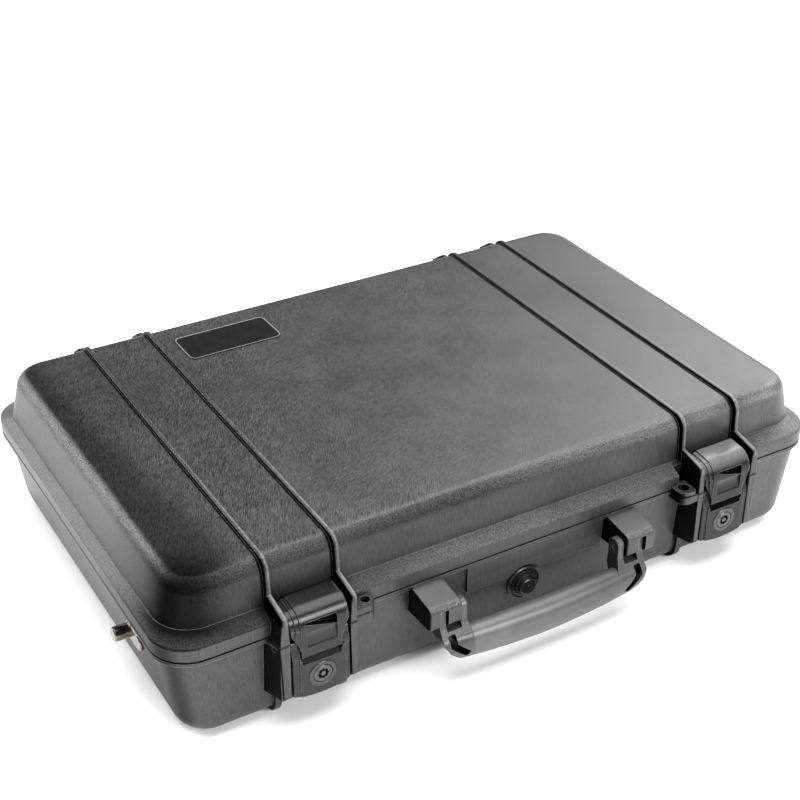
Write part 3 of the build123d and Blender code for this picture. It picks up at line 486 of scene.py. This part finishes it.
def foam_material(name, colour):
    """Open-cell foam: small dark pores in a matt web."""
    g = Graph(name)
    pores = g.cells(1.25)
    fine = g.noise((0.45, 0.45, 0.45), 3.0, 0.65)
    broad = g.math("SUBTRACT", g.noise((30, 30, 30), 3.0), 0.5)
    web = g.step(pores, 0.12, 0.62)
    g.bump(g.math("ADD", g.math("MULTIPLY", web, 0.34), g.math("MULTIPLY", fine, 0.30)))
    shade = g.math("ADD", g.mix(web, 0.45, 1.15), g.math("ADD", g.math("MULTIPLY", broad, 0.3), g.math("MULTIPLY", fine, 0.25)))
    g.surface(g.tint(colour, shade), 0.95, Sheen_Weight=0.25, Sheen_Roughness=0.5, IOR=1.3)
    return g.material


def rubber_material(name, colour, rough):
    g = Graph(name)
    fine = g.math("SUBTRACT", g.noise((0.6, 0.6, 0.6), 3.0, 0.6), 0.5)
    dust = g.math("SUBTRACT", g.noise((7, 7, 7), 4.0, 0.6), 0.5)
    g.bump(g.math("MULTIPLY", fine, 0.04))
    g.surface(
        g.tint(colour, g.math("ADD", 1.0, g.math("ADD", g.math("MULTIPLY", dust, 0.8), g.math("MULTIPLY", fine, 0.4)))),
        g.math("ADD", rough, g.math("MULTIPLY", dust, 0.2)),
    )
    return g.material


LABEL = (-85.5, 107.6 + SHELL_Y)


def label_material():
    """A bare glossy label with a thin pale line inside its edge."""
    g = Graph("label_gloss")
    # distance to a rounded rectangle 35.9 x 16.9 mm in half size
    dx = g.math("SUBTRACT", g.math("ABSOLUTE", g.math("SUBTRACT", g.x, LABEL[0])), 35.9 - 4.4)
    dy = g.math("SUBTRACT", g.math("ABSOLUTE", g.math("SUBTRACT", g.y, LABEL[1])), 16.9 - 4.4)
    both = g.add("ShaderNodeCombineXYZ")
    g.put(both.inputs[0], g.math("MAXIMUM", dx, 0.0))
    g.put(both.inputs[1], g.math("MAXIMUM", dy, 0.0))
    inside = g.math("MINIMUM", g.math("MAXIMUM", dx, dy), 0.0)
    distance = g.math("SUBTRACT", g.math("ADD", g.vec("LENGTH", both.outputs[0]), inside), 4.4)
    border = g.math("SUBTRACT", 1.0, g.step(g.math("ABSOLUTE", distance), 0.22, 0.42))
    smudge = g.math("SUBTRACT", g.noise((9, 9, 9), 4.0, 0.6), 0.5)
    fine = g.math("SUBTRACT", g.noise((0.3, 2.0, 0.3), 2.0), 0.5)
    normal, edge = g.edges(0.3)
    g.bump(g.math("MULTIPLY", fine, 0.006), normal)
    dark = g.tint((0.0035, 0.0035, 0.0038), g.math("ADD", 1.0, g.math("MULTIPLY", smudge, 0.8)))
    g.surface(
        g.blend(g.math("MAXIMUM", g.math("MULTIPLY", border, 0.85), g.math("MULTIPLY", edge, 0.25)), dark, (0.20, 0.20, 0.20)),
        g.math("ADD", 0.36, g.math("MULTIPLY", smudge, 0.25)),
        IOR=1.5,
        Specular_IOR_Level=0.22,
    )
    return g.material


def floor_material():
    g = Graph("pale_floor")
    g.surface((0.86, 0.86, 0.86), 0.9)
    return g.material


M = {
    "shell": shell_material(),
    "latch": moulded("latch_plastic", (0.0065, 0.0075, 0.0070), 0.25, 0.012, 0.45, 0.8, (0.26, 0.27, 0.26), 0.55, (0.64, 0.46), 52.2, cap=79.0),
    "handle": moulded("handle_plastic", (0.034, 0.034, 0.035), 0.32, 0.016, 0.6, 0.8, (0.16, 0.16, 0.16), 0.35),
    "grip": moulded("grip_overmould", (0.052, 0.052, 0.053), 0.34, 0.02, 0.9, 0.3, painted_light_across=(-75.0, 75.0, 1.18, 0.8)),
    "valve": moulded("valve_plastic", (0.008, 0.008, 0.0085), 0.26, 0.008, 0.4, 0.25),
    "seal": rubber_material("seal_rubber", (0.012, 0.012, 0.012), 0.7),
    "foam": foam_material("foam", (0.030, 0.030, 0.033)),
    "label": label_material(),
    "steel": metal("turned_steel", (0.16, 0.16, 0.155), 0.38),
    "bright_metal": metal("bright_nickel", (0.195, 0.174, 0.149), 0.16),
    "lock_ring": moulded("lock_ring_plastic", (0.014, 0.0155, 0.0142), 0.28, 0.008, 0.4, 0.45),
    "lock_metal": metal("dark_plated", (0.085, 0.085, 0.08), 0.30, "y"),
}

slots = {entry["node"]: entry["material_slot"] for entry in frame["record"]["subparts"]}
for name, node in frame["nodes"].items():
    node.data.materials.clear()
    node.data.materials.append(M[slots[name]])

# ---------------------------------------------------------------- foam
def foam_piece(name, node, voxel, relief=None):
    """Foam cut to the node's outline: its edges rounded over, its faces slightly uneven.
    relief(x, y, z, nz) gives how far up a point is moved, all in mm."""
    source = bpy.data.objects.new(name, node.data.copy())
    scene.collection.objects.link(source)
    source.matrix_world = node.matrix_world.copy()
    weld = source.modifiers.new("weld", "WELD")
    weld.merge_threshold = 0.00002
    remesh = source.modifiers.new("cells", "REMESH")
    remesh.mode = "VOXEL"
    remesh.voxel_size = voxel * MM
    smooth = source.modifiers.new("round", "SMOOTH")
    smooth.factor = 0.6
    smooth.iterations = 5
    bpy.context.view_layer.update()
    shaped = bpy.data.meshes.new_from_object(
        source.evaluated_get(bpy.context.evaluated_depsgraph_get())
    )
    bpy.data.objects.remove(source)
    shaped.name = name
    piece = bpy.data.objects.new(name, shaped)
    scene.collection.objects.link(piece)
    piece.matrix_world = node.matrix_world.copy()
    count = len(shaped.vertices)
    co = np.empty(count * 3)
    shaped.vertices.foreach_get("co", co)
    co = co.reshape(-1, 3) * 1000.0
    turn = np.array(piece.matrix_world.to_3x3())
    nor = np.empty(count * 3)
    shaped.vertices.foreach_get("normal", nor)
    nor = nor.reshape(-1, 3)
    x, y, z = (co @ turn.T).T
    nz = (nor @ turn.T)[:, 2]
    # slow unevenness of cut foam
    low = (
        0.25 * np.sin(x / 17.0 + 1.3) * np.sin(y / 23.0)
        + 0.18 * np.sin(x / 6.1) * np.sin(y / 7.3 + 0.4)
        + 0.12 * np.sin(x / 3.1 + z / 2.7) * np.sin(y / 3.7)
    )
    co -= nor * (0.35 + low)[:, None] * 0.7
    if relief is not None:
        up = relief(x, y, z, nz)
        co += (np.stack([0 * up, 0 * up, up], axis=1)) @ turn
    shaped.vertices.foreach_set("co", (co / 1000.0).ravel())
    shaped.polygons.foreach_set("use_smooth", [True] * len(shaped.polygons))
    shaped.update()
    shaped.materials.clear()
    shaped.materials.append(M["foam"])
    return piece


def egg_crate(x, y, z, nz):
    """Waves on the lid foam's lower face, flat again near its rim."""
    wave = 0.5 + 0.5 * np.sin(2 * np.pi * x / 36.0) * np.sin(2 * np.pi * (y - SHELL_Y) / 36.0)
    inside = np.clip((222.0 - np.abs(x)) / 14.0, 0, 1) * np.clip((134.0 - np.abs(y - SHELL_Y)) / 14.0, 0, 1)
    share = np.clip((-nz - 0.6) / 0.3, 0, 1)
    return share * inside * (0.4 + 9.0 * wave)


lid_foam = foam_piece("lid_foam_waved", frame["nodes"]["lid_foam"], 4.0, egg_crate)
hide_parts("lid_foam")
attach(lid_foam, "lid")

base_foam = foam_piece("base_foam_cut", frame["nodes"]["base_foam"], 3.0)
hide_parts("base_foam")
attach(base_foam, "base")

# ---------------------------------------------------------------- floor
floor_mesh = bmesh.new()
bmesh.ops.create_grid(floor_mesh, x_segments=8, y_segments=8, size=12.0)
data = bpy.data.meshes.new("floor")
floor_mesh.to_mesh(data)
floor_mesh.free()
floor = bpy.data.objects.new("floor", data)
scene.collection.objects.link(floor)
floor.location = (0, 0, -0.0002)
data.materials.append(floor_material())
